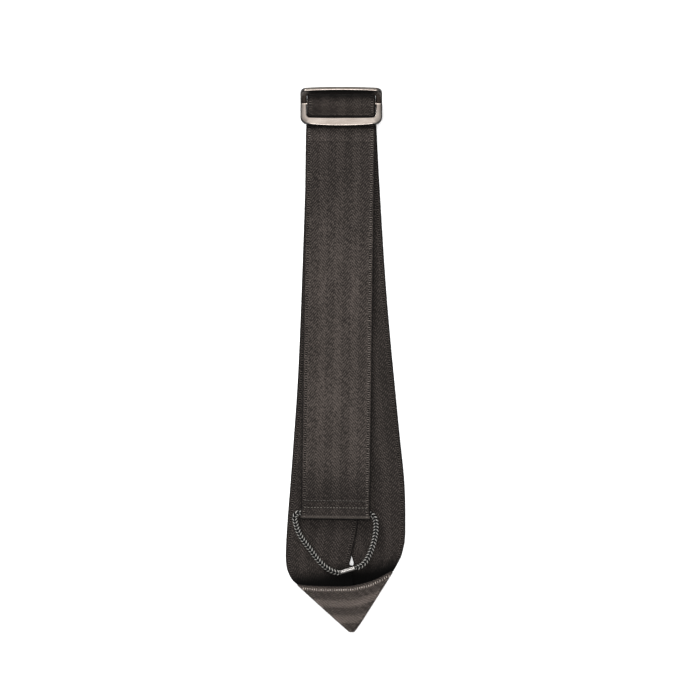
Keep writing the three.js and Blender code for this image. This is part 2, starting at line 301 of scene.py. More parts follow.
def webbing_material(
    name, run_frame=None, panels=0.08, soft=0.07, lighter=0.0, tone=1.0, fold=None, ladder=(1.6, 3.2),
    ticks=(0.35, 0.35), rim=0.8,
):
    """Herringbone webbing. Its twill lines turn at each panel, and both edges have a ladder of ticks.

    panels is how far alternate panels differ in painted sheen, and soft how gradually. lighter shifts how
    much of the yarn is pale, and tone is how pale it is. fold is where along it a fold is, which gets a
    paler band of stretched yarn with a painted highlight. ladder is how far in from an edge the ticks start
    and stop, ticks is how pale they are, left and right, and rim is how dark the very edge is, a dark
    selvedge with painted edge shade. Where the attribute's third value is 1, the webbing is fully darkened
    with painted shade.

    With run_frame, an object, the pattern goes by place in its frame and not by attribute."""
    attribute = None if run_frame else "web_uv"
    s = Surface(name, attribute, run_frame, Sheen_Weight=0.03, Sheen_Roughness=0.4)
    s.shader.inputs["Specular IOR Level"].default_value = 0.1
    if run_frame:
        s.turned((RUN_X, RUN_Y, 0), TILT)
    u, v, dark = s.parts()
    if run_frame:
        u = (u - RUN_SHIFT) * (1 / RUN_WIDER)
        v = v * -1
    edge = u.math("ABSOLUTE") * -1 + HALF
    across = u + (HALF - PANELS_FROM)
    drift = s.noise((3, 4, 1))
    twill = (v + across.math("PINGPONG", PANEL) * TWILL_RISE + drift * TWILL_DRIFT).wave(TWILL_PITCH)
    floats = twill * (across + v * FLOATS_RISE).wave(PANEL / 4)
    turned = (across / (2 * PANEL)).math("FRACT").inside(0.5, 1.0, soft)
    fuzz = s.noise((0.5, 0.9, 1))
    mottle = s.noise((1.3, 1.5, 1), 1.0)
    patches = s.noise((14, 30, 1), 3.0)
    within = edge.inside(*ladder, 0.15)
    rung = within * v.wave(LADDER_PITCH).step(*RUNG)
    tick = rung * (u.step(-1, 1) * (ticks[1] - ticks[0]) + ticks[0])
    selvedge = edge.step(*RIM_FADES) * -1 + 1
    body = edge.step(LADDER_TO, PANELS_FROM)
    parts = {"twill": twill, "floats": floats, "fuzz": fuzz, "mottle": mottle, "patches": patches}

    # Alternate panels differ by painted sheen, as light catches their twill from opposite sides
    light = weighed(parts, PALENESS) + (turned - 0.5) * body * panels + (lighter - MEAN_PALENESS)
    if run_frame:
        low, high, gain = RUN_PALER
        light = light + (v.step(low, high) * gain - RUN_TOP_DARKER)
        low, high, loss = RUN_DARKER
        light = light - v.step(low, high) * loss
    deep, pale = ([part * tone for part in yarn] for yarn in (DARK_YARN, PALE_YARN))
    ladder_yarn = [part * tone**2 for part in TICK_YARN]
    woven = s.mix(light.step(0.0, 1.0), deep, pale)
    # Painted shade between the ladder's raised ticks
    woven = s.mix((within - rung) * 0.8, woven, SHADOW_YARN)
    woven = s.mix(tick * mottle.step(0.2, 0.65), woven, ladder_yarn)
    # The very edge is darkened: a dark selvedge with painted edge shade
    woven = s.mix(selvedge * rim, woven, SHADOW_YARN)
    if fold:
        # A paler band along the fold: stretched yarn with a painted highlight
        worn = v.inside(fold - FOLD_HIGHLIGHT_HALF, fold + FOLD_HIGHLIGHT_HALF, FOLD_HIGHLIGHT_SOFT) * (fuzz * 0.6 + 0.4)
        woven = s.mix(worn * FOLD_HIGHLIGHT_SHARE, woven, TICK_YARN)
    # Painted shade in hollows and narrow gaps, from the attribute's third value
    if not run_frame:
        woven = s.mix(dark, woven, PAINTED_SHADE_YARN)
    s.set("Base Color", woven)
    s.set("Roughness", fuzz * 0.15 + 0.7)
    raised = {"twill": twill * body, "floats": floats * body, "rung": rung, "fuzz": fuzz}
    raised |= {"picks": v.wave(PICK_PITCH), "ends": across.wave(END_PITCH)}
    s.bump(weighed(raised, RELIEF), RELIEF_DEPTH)
    return s.material


PLATING = (0.50, 0.435, 0.39), (0.74, 0.67, 0.61)
# Painted dark reflection on the plating
PAINTED_DARK_REFLECTION = (0.015, 0.017, 0.02)


def slide_metal(name, attribute=None):
    """Gunmetal with a brushed grain along the bars. An attribute's third value says how much painted dark
    reflection and shade cover it.
    """
    s = Surface(name, attribute, Metallic=1.0)
    grain = s.noise((9, 0.16, 100), 4.0)
    cloud = s.noise((12, 5, 100))
    tone = (grain * 0.6 + cloud * 0.4).step(0.3, 0.7)
    plated = s.mix(tone, *PLATING)
    if attribute:
        # Painted dark reflection and shade, from the attribute's third value
        plated = s.mix(s.parts()[2], plated, PAINTED_DARK_REFLECTION)
    s.set("Base Color", plated)
    s.set("Roughness", grain * 0.14 + 0.12)
    s.bump(grain, 0.015)
    return s.material


def ferrule_metal():
    s = Surface("crimped_metal", "strand", Metallic=1.0)
    grain = s.noise((0.5, 4, 1), 3.0)
    s.set("Base Color", s.mix(grain.step(0.3, 0.7), (0.13, 0.125, 0.12), (0.30, 0.29, 0.28)))
    s.set("Roughness", grain * 0.2 + 0.2)
    s.bump(grain, 0.03)
    return s.material


def cord_material():
    """Glossy black filament yarn, with a painted highlight on the crown of each strand where it lies over
    the others.
    """
    s = Surface("braided_yarn", "strand", Coat_Weight=0.08, Coat_Roughness=0.3)
    s.shader.inputs["Specular IOR Level"].default_value = 0.25
    way_round, along, crown = s.parts()
    filaments = (way_round + along * 0.8).wave(0.42)
    fuzz = s.noise((0.4, 2.5, 1))
    lit = crown.step(0.76, 0.95) * (filaments * 0.3 + fuzz * 1.3)
    s.set("Base Color", s.mix(lit, (0.003, 0.003, 0.003), (0.38, 0.37, 0.35)))
    s.set("Roughness", fuzz * 0.2 + 0.3)
    s.bump(filaments, 0.05)
    return s.material


def thread_material(name, dark, pale):
    """Twisted sewing thread, between two colours."""
    s = Surface(name, "strand", Sheen_Weight=0.2)
    _, along, _ = s.parts()
    twist = along.wave(0.5)
    fuzz = s.noise((0.3, 0.4, 1))
    tone = (twist * 0.5 + fuzz * 0.5).step(0.2, 0.8)
    s.set("Base Color", s.mix(tone, dark, pale))
    s.set("Roughness", fuzz * 0.2 + 0.4)
    s.bump(twist, 0.06)
    return s.material


# ------------------------ lines and meshes


def smooth_line(points, per_span=24):
    """A Catmull-Rom curve through the points."""
    p = np.asarray(points, float)
    p = np.vstack([2 * p[0] - p[1], p, 2 * p[-1] - p[-2]])
    t = np.linspace(0, 1, per_span, endpoint=False)[:, None]
    spans = [
        0.5 * (2 * b + (c - a) * t + (2 * a - 5 * b + 4 * c - d) * t**2 + (3 * b - a - 3 * c + d) * t**3)
        for a, b, c, d in zip(p, p[1:], p[2:], p[3:])
    ]
    return np.vstack([*spans, p[-2:-1]])


def distances(line):
    """How far along the line each of its points is."""
    return np.concatenate([[0], np.cumsum(np.linalg.norm(np.diff(line, axis=0), axis=1))])


def respaced(line, step):
    """The line at an even step close to the one given, and how far along each point is."""
    line = np.asarray(line, float)
    length = distances(line)
    at = np.linspace(0, length[-1], max(3, round(length[-1] / step) + 1))
    return np.stack([np.interp(at, length, part) for part in line.T], axis=1), at


def arc(centre, radius_y, radius_z, start, stop, steps=24):
    """Points in side view on an ellipse, between two angles in degrees; 0 is +Y and 90 is up."""
    angle = np.radians(np.linspace(start, stop, steps + 1))
    return np.stack([centre[0] + radius_y * np.cos(angle), centre[1] + radius_z * np.sin(angle)], axis=1)


def smoothstep(low, high, value):
    """From 0 at low to 1 at high, which may be the smaller of the two."""
    t = np.clip((value - low) / (high - low), 0, 1)
    return t * t * (3 - 2 * t)


def tube_faces(rings, sides, first=0, closed=False):
    """Quads between rings of points, and a cap on each end of an open tube."""
    start = np.arange(rings if closed else rings - 1)[:, None] * sides
    after = start + sides if not closed else (start + sides) % (rings * sides)
    here = np.arange(sides)
    there = (here + 1) % sides
    quads = np.stack([start + here, start + there, after + there, after + here], axis=2) + first
    faces = quads.reshape(-1, 4).tolist()
    if not closed:
        faces.append([first + i for i in reversed(range(sides))])
        faces.append([first + (rings - 1) * sides + i for i in range(sides)])
    return faces


def volume(points, faces):
    """24 times what the quads enclose, which is negative if they face inwards."""
    quads = np.array([face for face in faces if len(face) == 4])
    a, b, c, d = (points[quads[:, i]] for i in range(4))
    area = np.cross(a, b) + np.cross(b, c) + np.cross(c, d) + np.cross(d, a)
    return np.einsum("ij,ij->", area, a + b + c + d)


def add_piece(name, points, faces, material, attribute, values, body=None):
    """A mesh piece. Points and the attribute's values are in millimetres. Faces that aren't quads are flat
    caps. With a body given, the piece rides on it or belongs to it."""
    points = np.asarray(points).reshape(-1, 3)
    if volume(points - points.mean(axis=0), faces) < 0:
        faces = [face[::-1] for face in faces]
    mesh = bpy.data.meshes.new(name)
    mesh.from_pydata((points * MM).tolist(), [], faces)
    layer = mesh.attributes.new(attribute, "FLOAT_VECTOR", "POINT")
    layer.data.foreach_set("vector", (np.asarray(values) * MM).astype(np.float32).ravel())
    mesh.polygons.foreach_set("use_smooth", [len(face) == 4 for face in faces])
    mesh.materials.append(material)
    mesh.update()
    piece = add_object(name, mesh)
    if body:
        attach(piece, body)
    return piece


def grid(*parts):
    """Arrays side by side in the last of three axes, each stretched to the full rows and columns."""
    return np.stack(np.broadcast_arrays(*parts), axis=2)


def unit(vectors):
    return vectors / np.linalg.norm(vectors, axis=-1, keepdims=True)


def all_round(count):
    """Angles at an even step round a circle."""
    return np.linspace(0, 2 * math.pi, count, endpoint=False)


def moving_frame(path):
    """The direction along a path at each point, and two more square to it that don't twist."""
    forward = unit(np.gradient(path, axis=0))
    up = np.zeros_like(path)
    last = np.array([0.0, 0.0, 1.0])
    for i, ahead in enumerate(forward):
        last = last - ahead * (last @ ahead)
        last /= np.linalg.norm(last)
        up[i] = last
    return forward, np.cross(up, forward), up


# ------------------------ cord and ferrule

CORD_ROUTE = [
    (-4.6, -156.2, 5.2), (-8.6, -155.4, 5.2), (-13.2, -153.0, 5.2), (-17.6, -149.4, 5.2),
    (-21.2, -145.2, 5.2), (-24.9, -140.2, 5.2), (-28.7, -135.2, 5.2), (-32.2, -130.3, 5.2),
    (-35.0, -124.7, 5.3), (-36.6, -119.0, 5.6), (-37.1, -115.4, 6.1), (-35.7, -112.8, 6.6),
    (-32.9, -112.26, 6.8), (-28.0, -112.33, 6.8), (-18.0, -112.46, 6.8), (-7.7, -112.6, 6.8),
    (4.0, -112.76, 6.8), (12.5, -112.87, 6.8), (17.4, -112.96, 6.8), (20.4, -114.5, 6.5),
    (22.0, -118.0, 5.9), (22.4, -123.2, 5.4), (22.0, -128.0, 5.2), (20.9, -133.4, 5.2),
    (19.3, -138.6, 5.2), (17.2, -143.8, 5.2), (14.7, -148.2, 5.2), (11.4, -151.3, 5.2),
    (7.9, -152.7, 5.2),
]
TUNNEL_MIDDLE = 15  # the point where the braid's two ends meet, hidden in the hem
FERRULE_ENDS = [(-3.8, -156.0, 5.2), (7.0, -152.9, 5.2)]

BRAID_RADIUS = 1.42
BRAID_WEAVE = 0.27  # how far a strand rises and dips as it crosses the others
BRAID_PITCH = 9.6
STRAND_WIDE, STRAND_THICK = 0.76, 0.5
STRANDS = 4  # each way round
STRAND_SIDES = 8
CROSSING = 1.6  # how abruptly a strand changes from over to under
CROWN_HIGHLIGHT, CROWN_HIGHLIGHT_RANGE = 0.62, 0.38  # the painted highlight on a strand's crown, in the material: its mean, and how far it varies
GRIP = 0.26  # how much the ferrule pinches the braid
GRIP_RUN = 2.4  # how far from the ferrule the pinch starts
CORD_STEP = 0.34

FERRULE_RADIUS = 1.95
ROLLED, CLOSED_IN = 0.08, 0.35  # how far the rolled ends stand out, and their last edges turn in
FERRULE_RINGS, FERRULE_SIDES = 64, 32
CRIMPS = (0.32, 0.68)  # shares of the ferrule's length
CRIMP_LOW, CRIMP_WIDE = 0.07, 0.03  # how much a crimp flattens and widens it


def cord_path():
    """The whole cord, from the middle of the hem out to its left, through the ferrule and back."""
    out = CORD_ROUTE[: TUNNEL_MIDDLE + 1][::-1]
    back = CORD_ROUTE[TUNNEL_MIDDLE:][::-1]
    return respaced(smooth_line(out + FERRULE_ENDS + back), CORD_STEP)


def make_cord(ferrule):
    """A round braid of flat strands, half of them wound each way."""
    line, along = cord_path()
    _, side, up = moving_frame(line)
    ends = np.array(FERRULE_ENDS)
    grip_from, grip_to = (along[np.argmin(np.linalg.norm(line - end, axis=1))] for end in ends)
    gripped = smoothstep(grip_from - GRIP_RUN, grip_from, along)
    gripped = gripped * (1 - smoothstep(grip_to, grip_to + GRIP_RUN, along))
    pinch = 1 - GRIP * gripped
    angle = all_round(STRAND_SIDES)
    shape = (len(line), STRAND_SIDES)
    points, values, faces = [], [], []
    for way in (1, -1):
        for k in range(STRANDS):
            turn = 2 * math.pi * (way * along / BRAID_PITCH + k / STRANDS)
            over = way * np.tanh(CROSSING * np.sin(2 * turn)) / math.tanh(CROSSING)
            out = side * np.cos(turn)[:, None] + up * np.sin(turn)[:, None]
            centre = line + out * ((BRAID_RADIUS + BRAID_WEAVE * over) * pinch)[:, None]
            run = unit(np.gradient(centre, axis=0))
            flat = unit(np.cross(out, run))
            outward = np.cross(run, flat)
            ring = flat[:, None] * (np.cos(angle) * STRAND_WIDE)[:, None]
            ring = ring + outward[:, None] * (np.sin(angle) * STRAND_THICK)[:, None]
            faces += tube_faces(*shape, len(points) * shape[0] * shape[1])
            points.append(centre[:, None] + ring * pinch[:, None, None])
            # Painted highlight on each strand's crown, dimmer where it dips under the others
            crown = (0.5 + 0.5 * np.sin(angle)) * (CROWN_HIGHLIGHT + CROWN_HIGHLIGHT_RANGE * over)[:, None]
            values.append(grid(angle * STRAND_WIDE, distances(centre)[:, None], crown))
    points, values = np.concatenate(points), np.concatenate(values)
    cord = add_piece("braided_cord", points, faces, cord_material(), "strand", values, "cord")
    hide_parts("button_cord")


def make_ferrule():
    """A short metal sleeve with rolled ends, crimped in two places."""
    start, stop = (np.array(end) for end in FERRULE_ENDS)
    length = np.linalg.norm(stop - start)
    forward = (stop - start) / length
    side = np.cross((0, 0, 1), forward)
    rows = np.linspace(0, length, FERRULE_RINGS)
    from_end = np.minimum(rows, length - rows)
    rolled = np.exp(-(((from_end - 0.45) / 0.4) ** 2))
    closed_in = np.exp(-((from_end / 0.16) ** 2))
    radius = FERRULE_RADIUS + ROLLED * rolled - CLOSED_IN * closed_in
    crimp = sum(np.exp(-(((rows - length * at) / 1.1) ** 2)) for at in CRIMPS)
    angle = all_round(FERRULE_SIDES)
    high = 1 - CRIMP_LOW * crimp[:, None] * np.abs(np.sin(angle)) ** 3
    wide = 1 + CRIMP_WIDE * crimp[:, None] * np.abs(np.cos(angle)) ** 2
    spokes = side * (np.cos(angle) * wide)[..., None]
    spokes = spokes + np.array((0, 0, 1)) * (np.sin(angle) * high)[..., None]
    points = start + forward * rows[:, None, None] + spokes * radius[:, None, None]
    values = grid(angle * 1.8, rows[:, None], 0)
    faces = tube_faces(*points.shape[:2])
    material = ferrule_metal()
    piece = add_piece("crimped_ferrule", points, faces, material, "strand", values, "cord")
    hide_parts("cord_ferrule")
    return piece


# ------------------------ webbing

ROW = LADDER_PITCH / 4  # step along the webbing
RUN_X, RUN_Y = -3.9, 168.0  # the middle of the front run where it comes out of the slide
RUN_WIDER, RUN_SHIFT = 1.018, 0.35  # it looks a little wider than the rest, mostly to its right
SEAM_TOP = 180.0  # the legs meet the wraps round the bar here, out of sight
SEAM_RUN = 160.0
HEM_TOP = -101.6
EDGE_STEPS = [0, 0.1, 0.3, 0.65, 1.1, 1.4, 1.7, 2.5, 3.3, 3.6]
POINT_STEPS = [0, 0.15, 0.4, 0.8, 1.35, 1.95, 2.5]  # the same, in from the tip's point
COLUMN_STEP = 1.6

SELVEDGE = 0.7  # how far in the rounding of an edge reaches
TICK_HEIGHT, LADDER_SUNK = 0.16, 0.1
GROOVE = 0.03


def columns(width=2 * HALF, far_steps=EDGE_STEPS):
    """Places across the webbing, closer together at its edges."""
    far = width - np.array(far_steps[::-1])
    inner = np.arange(5.0, far[0] - 1.2, COLUMN_STEP)
    return np.concatenate([EDGE_STEPS, inner, far]) - HALF


def half_thickness(u, v, edge):
    """From the middle surface to a face: a rounded edge, raised ticks and a groove at each panel."""
    base = THICK / 2 * np.sqrt(np.clip(1 - (1 - np.minimum(edge, SELVEDGE) / SELVEDGE) ** 2, 0, 1))
    from_side = HALF - np.abs(u)
    tick = 0.5 + 0.5 * np.sin(2 * math.pi * v / LADDER_PITCH)
    ladder = (from_side > LADDER_FROM) & (from_side < LADDER_TO)
    groove = GROOVE * np.cos(2 * math.pi * (u + HALF - PANELS_FROM) / PANEL)
    raised = np.where(ladder, TICK_HEIGHT * tick - LADDER_SUNK, 0)
    return base + raised - groove * (from_side > PANELS_FROM)


def sheet(name, middle, u, v, material, body=None, edge=None, dark=0.0):
    """Closed webbing round a middle surface, whose rows run along v and columns along u.

    edge is how far in from an edge each point is, where u doesn't say, and dark how much painted shade
    darkens the material."""
    normal = unit(np.cross(np.gradient(middle, axis=1), np.gradient(middle, axis=0)))
    out = normal * half_thickness(u, v, HALF - np.abs(u) if edge is None else edge)[..., None]
    uv = grid(u, v, dark)
    ring = np.concatenate([middle + out, (middle - out)[:, -2:0:-1]], axis=1)
    ring_uv = np.concatenate([uv, uv[:, -2:0:-1]], axis=1)
    faces = tube_faces(ring.shape[0], ring.shape[1])
    return add_piece(name, ring, faces, material, "web_uv", ring_uv, body)


def banded(name, line, x, v_start, material, body=None, dark=None, end=None):
    """Webbing that bends only in side view, along a line of (y, z), with its middle at x.

    end is what its middle, its angle about Z and its share of the full width change to along its second
    half. dark gives its painted shade at each (y, z)."""
    rows, along = respaced(line, ROW)
    y, z = rows[:, :1], rows[:, 1:]
    spread = columns()
    end_x, end_turn, end_width = end or (x, 0, 1)
    change = smoothstep(0.5, 1, along[:, None] / along[-1])
    x = x + (end_x - x) * change
    turn = end_turn * change
    reach = spread * (1 + (end_width - 1) * change)
    middle = grid(x + reach * np.cos(turn), y + reach * np.sin(turn), z)
    shade = dark(y, z) if dark else 0.0
    piece = sheet(name, middle, spread, v_start + along[:, None], material, body, dark=shade)
    return piece


def in_run_frame(points):
    """From the front run's own frame, with its origin where it leaves the slide, to the strap's."""
    x, y, z = np.moveaxis(np.asarray(points, float), -1, 0)
    x = x * RUN_WIDER + RUN_SHIFT
    cos, sin = math.cos(TILT), math.sin(TILT)
    return np.stack([RUN_X + x * cos - y * sin, RUN_Y + x * sin + y * cos, z], axis=-1)


TURN = {"x": -3.1, "bulge": 6.9, "radius": 4.55}
DESCENT = math.radians(35)
LEAVE = 90 + math.degrees(DESCENT)
ANCHOR = {"x": -3.0, "radius": 2.95, "end": 146.4}

# Painted deep shade on the turn: how dark, and where it starts and stops. The low bands, in Y, are above and
# below the slide's lower end. The far one is in the far slot, and in Z it starts above the bar's middle.
LOW_SHADE = [(0.85, (177.4, 178.0), (180.2, 178.8)), (0.75, (168.8, 170.8), (172.2, 171.8))]
FAR_SHADE, FAR_SHADE_Y, FAR_SHADE_Z = 0.85, (189.5, 193.5), (AXIS[1] + 1, AXIS[1] + 3)


def descend(line, height):
    """Adds the straight slope from the end of a side view line down to a height."""
    y, z = line[-1]
    return np.vstack([line, [y - (z - height) / math.tan(DESCENT), height]])


def turn_shade(y, z):
    """How much painted shade darkens the running webbing between the slide's bars."""
    low = sum(dark * smoothstep(*start, y) * smoothstep(*stop, y) for dark, start, stop in LOW_SHADE)
    return low + FAR_SHADE * smoothstep(*FAR_SHADE_Y, y) * smoothstep(*FAR_SHADE_Z, z)


def make_turn(material):
    """The running webbing: under the slide, up through its far slot, over the bar and down the front."""
    far = arc(AXIS, TURN["bulge"], TURN["radius"], -90, 90)
    near = arc(AXIS, TURN["radius"], TURN["radius"], 90, LEAVE, 8)[1:]
    line = descend(np.vstack([[SEAM_TOP, RIGHT_LEG_Z], far, near]), RUN_Z)
    line = np.vstack([line, [SEAM_RUN, RUN_Z]])
    v_start = RUN_Y - SEAM_RUN - distances(line)[-1]
    end = in_run_frame((0, SEAM_RUN - RUN_Y, RUN_Z))[0], TILT, RUN_WIDER
    piece = banded("webbing_turn", line, TURN["x"], v_start, material, dark=turn_shade, end=end)
    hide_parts("webbing_bar_turn")
    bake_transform(piece)


def make_anchor(material):
    """The sewn end: over the left leg, round the bar from below and down onto the leg again."""
    turn = arc(AXIS, ANCHOR["radius"], ANCHOR["radius"], -90, LEAVE)
    line = descend(np.vstack([[SEAM_TOP, LEFT_LEG_Z], turn]), FLAP_Z)
    line = np.vstack([line, [ANCHOR["end"], FLAP_Z]])
    piece = banded("sewn_end", line, ANCHOR["x"], 0, material, "loop")
    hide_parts("webbing_anchor_end")


SAG = 1.45  # how far the front run sinks onto the legs
SAG_STARTS, SAG_STOPS = (-22, -50), (-263, -228)  # in the run's own frame
HEM_TICKS = (0.3, 0.6)  # the front run and the hem are paler on the right


def make_run(hem):
    """The front run, from the slide down to the hem. Its weave keeps its place from the hem."""
    top, bottom = SEAM_RUN - RUN_Y, HEM_TOP - RUN_Y
    count = round((top - bottom) / ROW) + 1
    y = np.linspace(top, bottom, count)[:, None]
    z = RUN_Z - SAG * smoothstep(*SAG_STARTS, y) * smoothstep(*SAG_STOPS, y)
    u = columns()
    material = webbing_material("running_webbing", hem, ticks=HEM_TICKS)
    piece = sheet("webbing_run", in_run_frame(grid(u, y, z)), u, -y, material)
    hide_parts("webbing_front_run")
    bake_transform(piece)


TUNNEL = {"y": -113.2, "z": 7.0, "radius": (3.55, 3.15), "descent": 80}
FLAP_PAST = 0.5  # how far past the top of the hem its flap reaches
HEM_LIGHTER = -0.17
# Painted deep shade under the hem's fold: how dark, and the heights between which it starts and stops
HEM_SHADE, HEM_SHADE_TOP, HEM_SHADE_FOOT = 0.97, (9.3, 8.5), (3.9, 5.0)


def make_hem():
    """The end of the strap, turned under round the cord."""
    tunnel = (TUNNEL["y"] - RUN_Y, TUNNEL["z"])
    curl = arc(tunnel, *TUNNEL["radius"], 90 - TUNNEL["descent"], 270, 36)
    start_y, start_z = curl[0]
    foot = (start_y + (start_z - RUN_Z) / math.tan(math.radians(TUNNEL["descent"])), RUN_Z)
    top = HEM_TOP - RUN_Y
    line = np.vstack([[top, RUN_Z], foot, curl, [top + FLAP_PAST, FLAP_Z]])
    rows, along = respaced(line, ROW)
    y, z = rows[:, :1], rows[:, 1:]
    u, v = columns(), -top + along[:, None]
    fold = -top + distances(line)[len(curl) // 2]
    # Painted shade under the fold
    below = HEM_SHADE * smoothstep(*HEM_SHADE_TOP, z) * smoothstep(*HEM_SHADE_FOOT, z) * (y < tunnel[0])
    material = webbing_material("hem_webbing", lighter=HEM_LIGHTER, fold=fold, ticks=HEM_TICKS)
    piece = sheet("hem", in_run_frame(grid(u, y, z)), u, v, material, "hem", dark=below)
    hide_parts("webbing_hem")
    return piece, foot[0], along[-1]


# Edges of the legs, from the slide down. An outer edge goes on past the corner where it folds.
RIGHT_OUTER = [
    (21.9, 188), (24.7, 132), (30.4, 44), (38.6, -44), (43.2, -90), (43.9, -121), (43.5, -132.5),
    (42.5, -138.3), (40.9, -144.2), (38, -150.1), (36.4, -153), (34.8, -155.8), (26, -172),
    (16, -200),
]
RIGHT_INNER = [
    (-28.1, 188), (-25.3, 132), (-19.6, 44), (-11.4, -44), (-6, -121), (4.3, -143.8), (5.9, -150.3),
    (4.4, -151.2), (4.2, -154.2), (3.6, -165), (3.2, -200),
]
LEFT_OUTER = [
    (-27.4, 188), (-33.8, 11), (-38.6, -66), (-42.4, -116), (-43.8, -141), (-43.3, -151.5),
    (-41.6, -157.2), (-38.9, -161.8), (-35.6, -164.8), (-24, -175.6), (-8, -191),
]
LEFT_INNER = [
    (22.6, 188), (16.2, 11), (9.9, -88), (9.4, -118), (4.3, -143.8), (3.0, -150.3), (4.6, -151.2),
    (4.8, -154.2), (5.2, -165), (3.4, -200),
]
LEG_END = -198.0
LEG_LIFT = 0.03  # the right leg is raised by this much
SINK_X, SINK_Y = (-9, -1), (-125, -95)  # from the right leg's inner edge, and along the legs
RIGHT_CLIP, LEFT_CLIP = (-1.0, -3.0), (-0.6, -2.6)  # from the rim's ends down, where the folds take over
LEAST_WIDTH = 0.5  # of a leg between the folds

# Painted shade in the hollow under the tip's rim: how dark, how far from the rim it is darkest and where it
# ends, the middle's X, and how fast it narrows to either side
HOLLOW_PAINTED_SHADE, HOLLOW_FULL, HOLLOW_GONE = 0.98, 6.5, 21.0
HOLLOW_X, HOLLOW_NARROWS = 2, 0.2

# The tip's rim, from left to right
RIM = [
    (-35.8, -164.5), (-30.5, -165.4), (-20.2, -166.0), (-7.7, -166.2), (1.5, -166.0), (7.7, -165.2),
    (16.5, -163.1), (23.2, -160.6), (29.0, -157.6), (35.0, -154.2),
]
TIP_ENDS = [(1.0, -198.05), (7.7, -198.1)]  # where the two folds stop and the point is rounded off
FOLD_RADIUS = 1.6
FOLD_INSET = FOLD_RADIUS + THICK / 2
TUCK = 0.3  # how far a leg's edge keeps inside a fold, and a wrap's last row reaches in


def edge_at(points, y):
    """X of a smooth edge at each Y."""
    line = smooth_line(points)[::-1]
    return np.interp(y, line[:, 1], line[:, 0])


def fold_at(side, y):
    """X of the left (0) or right (-1) fold of the tip at each Y."""
    corner, end = RIM[side], TIP_ENDS[side]
    return np.interp(y, (end[1], corner[1]), (end[0], corner[0]))


def make_leg(name, node, left, right, clip, height, material):
    """A leg of the loop. clip narrows it where the tip's fold takes over; height gives its middle."""
    y = np.linspace(SEAM_TOP, LEG_END, round((SEAM_TOP - LEG_END) / ROW) + 1)[:, None]
    low, high = edge_at(left, y), edge_at(right, y)
    clip_low, clip_high = clip(low, high, y)
    spread = columns()
    x = clip_low + (spread + HALF) / (2 * HALF) * (clip_high - clip_low)
    u = (x - low) / (high - low) * 2 * HALF - HALF
    middle = grid(x, y, height(x, y))
    rim = smooth_line(RIM)
    from_rim = y - np.interp(x, rim[:, 0], rim[:, 1])
    # Painted shade in the hollow under the tip's rim
    from_hollow = from_rim + HOLLOW_NARROWS * np.abs(x - HOLLOW_X)
    dark = HOLLOW_PAINTED_SHADE * (1 - smoothstep(HOLLOW_FULL, HOLLOW_GONE, from_hollow))
    piece = sheet(name, middle, u, SEAM_TOP - y, material, edge=HALF - np.abs(spread), dark=dark)
    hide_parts(node)
    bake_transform(piece)


def make_legs(material):
    """Both legs of the loop. Below the rim each one keeps inside the fold on its outer side."""

    def clip_right(low, high, y):
        fold = fold_at(-1, y) - FOLD_INSET - TUCK
        below = smoothstep(*(RIM[-1][1] + at for at in RIGHT_CLIP), y)
        return low, high + (np.maximum(fold, low + LEAST_WIDTH) - high) * below

    def clip_left(low, high, y):
        fold = fold_at(0, y) + FOLD_INSET + TUCK
        below = smoothstep(*(RIM[0][1] + at for at in LEFT_CLIP), y)
        return low + (np.minimum(fold, high - LEAST_WIDTH) - low) * below, high

    def left_height(x, y):
        """The left leg lies on the right leg, and beside it sinks to the surface, except near the tip."""
        under = edge_at(RIGHT_INNER, y)
        sunk = (1 - smoothstep(*(under + at for at in SINK_X), x)) * smoothstep(*SINK_Y, y)
        return LEFT_LEG_Z - (LAYER - 2 * LEG_LIFT) * sunk

    right = RIGHT_INNER, RIGHT_OUTER, clip_right, lambda x, y: RIGHT_LEG_Z + LEG_LIFT
    left = LEFT_OUTER, LEFT_INNER, clip_left, left_height
    make_leg("webbing_leg_right", "webbing_right_leg", *right, material)
    make_leg("webbing_leg_left", "webbing_left_leg", *left, material)


TIP_LENGTH = 32.5  # from the rim to where the folds stop
TIP_ROUND = 1.6  # how much further the rounded point goes
TIP_BULGE = 4.5  # how high the rim stands at its middle
TIP_RIPPLE = 0.3
TIP_SINKS = 0.9  # how far the point comes down
TIP_ROWS = 172
TIP_CUT = 0.985  # where the rounded point stops, as a share of TIP_ROUND
MOST_RADIUS, MOST_INSET = 0.56, 0.8  # of the tip's half width, near its point


